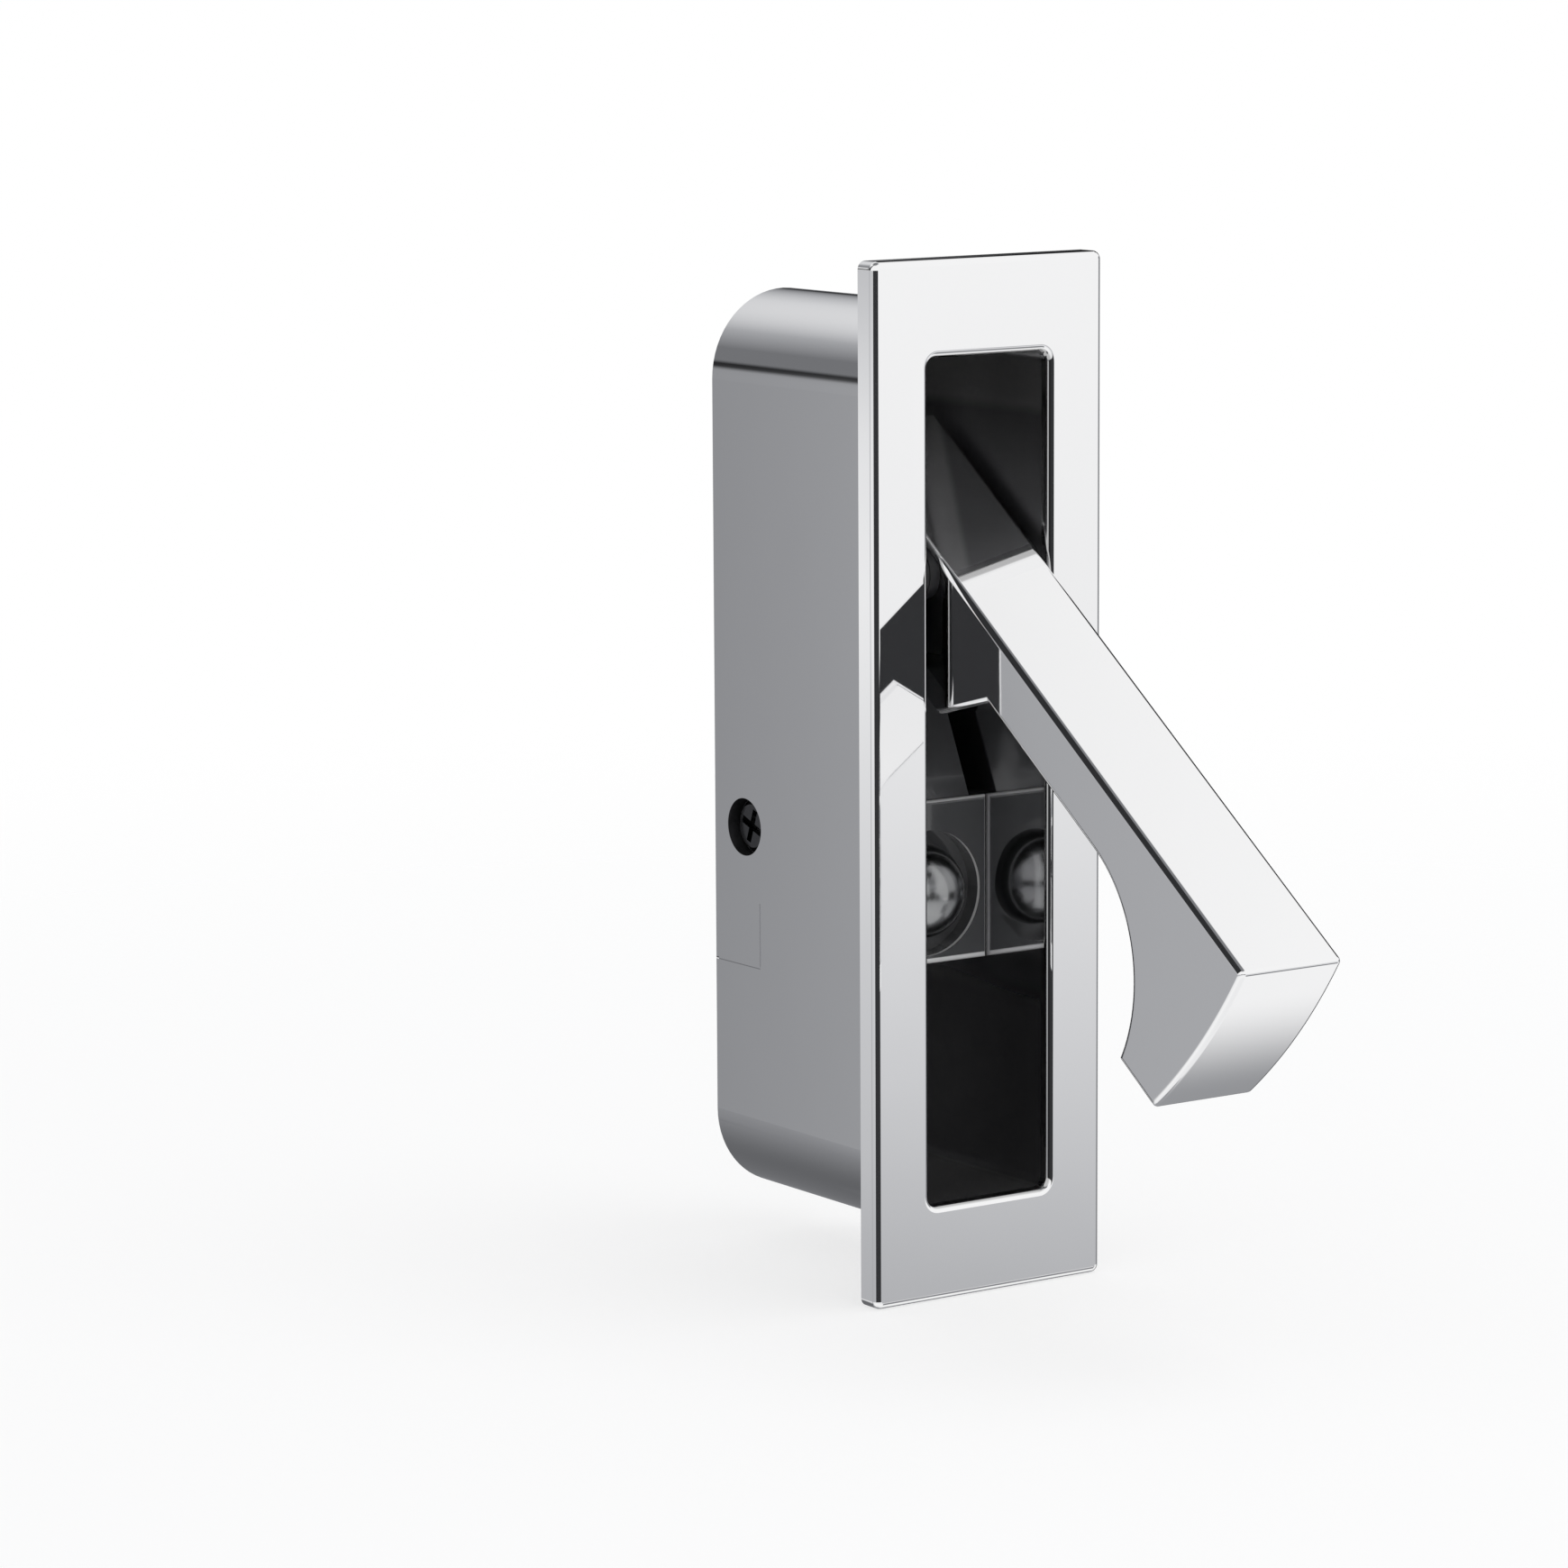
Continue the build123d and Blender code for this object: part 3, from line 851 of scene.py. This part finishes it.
def floor_paper(studio):
    """Pale paper that fades into the white room; metal looks through it to the room's own floor."""
    material, graph = new_material("floor_paper")
    x, y, _ = graph.place()
    fade = (0.25 * studio.floor_clear, 0.98 * studio.floor_clear)
    faded = graph.step(graph.math("SQRT", x * x + y * y), *fade)
    fibre = graph.noise(size=0.8 * MM, detail=3.0)
    fibre_tint = 0.2
    base = graph.mix(fibre * fibre_tint, rgba(studio.floor_colour), rgba(studio.floor_colour, level=0.98))
    matt = {"Base Color": base, "Roughness": 1.0, "Specular IOR Level": 0.0}
    paper = graph.add("ShaderNodeBsdfPrincipled", sockets=matt)
    white = graph.add("ShaderNodeEmission", sockets={"Color": rgba((1.0, 1.0, 1.0)), "Strength": 1.0})
    clear = graph.add("ShaderNodeBsdfTransparent")
    path = graph.add("ShaderNodeLightPath")
    camera, glossy, through = (
        graph.shade(path, kind) for kind in ("Is Camera Ray", "Is Glossy Ray", "Is Transmission Ray")
    )

    def blend(factor, first, second):
        sockets = {0: factor, 1: first.outputs[0], 2: second.outputs[0]}
        return graph.add("ShaderNodeMixShader", sockets=sockets)

    lifted = blend(camera * studio.floor_lift, paper, white)
    shader = blend((1 - faded) * (1 - glossy) * (1 - through), clear, lifted)
    graph.add("ShaderNodeOutputMaterial", sockets={"Surface": shader.outputs[0]})
    return material


def studio_floor(studio):
    """Plain pale floor just under the part."""
    half = studio.floor_clear
    level = cad_box[0][2] - studio.floor_drop
    corners = [(-half, -half, level), (half, -half, level), (half, half, level), (-half, half, level)]
    mesh = bpy.data.meshes.new("floor")
    mesh.from_pydata(corners, [], [(0, 1, 2, 3)])
    mesh.materials.append(floor_paper(studio))
    floor = bpy.data.objects.new("floor", mesh)
    bpy.context.scene.collection.objects.link(floor)


def studio_lamp(studio):
    """Soft lamp overhead, to the right, which leaves the metal's reflections to the room."""
    lamp = bpy.data.lights.new("overhead_lamp", "AREA")
    lamp.shape = "DISK"
    lamp.size = studio.lamp_size
    lamp.energy = studio.lamp_power
    holder = bpy.data.objects.new("overhead_lamp", lamp)
    holder.location = studio.lamp_place
    holder.rotation_euler = (-holder.location).to_track_quat("-Z", "Y").to_euler()
    holder.visible_glossy = False
    bpy.context.scene.collection.objects.link(holder)


def studio_camera(studio):
    """Camera at the photograph's viewing angle."""
    azimuth, elevation, roll = studio.azimuth, studio.elevation, studio.roll
    back = Vector((sin(azimuth) * cos(elevation), -cos(azimuth) * cos(elevation), sin(elevation)))
    right = Vector((cos(azimuth), sin(azimuth), 0.0))
    up = back.cross(right)
    right, up = cos(roll) * right + sin(roll) * up, cos(roll) * up - sin(roll) * right
    turn = Matrix((right, up, back)).transposed().to_4x4()
    place = studio.distance * back - studio.aside * right - studio.above * up
    camera = bpy.data.cameras.new("camera")
    camera.sensor_width = 36.0
    camera.lens = studio.focal_length
    camera.clip_start = 0.01
    camera.clip_end = 20.0
    holder = bpy.data.objects.new("camera", camera)
    holder.matrix_world = Matrix.Translation(place) @ turn
    bpy.context.scene.collection.objects.link(holder)
    bpy.context.scene.camera = holder


class EDGEPULL_OT_stage(bpy.types.Operator):
    """Set the floor, the room's light and the camera"""

    bl_idname = "edge_pull.stage"
    bl_label = "Stage"

    def execute(self, context):
        studio = context.scene.edge_pull_studio
        context.scene.view_settings.view_transform = "Standard"
        studio_world(studio)
        studio_floor(studio)
        studio_lamp(studio)
        studio_camera(studio)
        return {"FINISHED"}


class EDGEPULL_PT_panel(bpy.types.Panel):
    """Sizes, colours and steps of the edge pull"""

    bl_idname = "EDGEPULL_PT_panel"
    bl_label = "Edge pull"
    bl_space_type = "VIEW_3D"
    bl_region_type = "UI"
    bl_category = "Edge pull"

    def draw(self, context):
        for name, group in GROUPS.items():
            box = self.layout.box()
            for value in group.__annotations__:
                box.prop(getattr(context.scene, name), value)
        for operator in OPERATORS:
            self.layout.operator(operator.bl_idname)


GROUPS = {
    "edge_pull_finish": EdgePullFinish,
    "edge_pull_body": EdgePullBody,
    "edge_pull_lever": EdgePullLever,
    "edge_pull_screw": EdgePullScrew,
    "edge_pull_studio": EdgePullStudio,
}
OPERATORS = (
    EDGEPULL_OT_body, EDGEPULL_OT_lever, EDGEPULL_OT_pivot, EDGEPULL_OT_block, EDGEPULL_OT_screws,
    EDGEPULL_OT_stage,
)
CLASSES = (*GROUPS.values(), *OPERATORS, EDGEPULL_PT_panel)


def register():
    for cls in CLASSES:
        bpy.utils.register_class(cls)
    for name, group in GROUPS.items():
        setattr(bpy.types.Scene, name, PointerProperty(type=group))


def unregister():
    for name in GROUPS:
        delattr(bpy.types.Scene, name)
    for cls in reversed(CLASSES):
        bpy.utils.unregister_class(cls)


def main():
    register()
    bpy.ops.edge_pull.body()
    bpy.ops.edge_pull.lever()
    bpy.ops.edge_pull.pivot()
    bpy.ops.edge_pull.block()
    bpy.ops.edge_pull.screws()
    bpy.ops.edge_pull.stage()


if __name__ == "__main__":
    main()
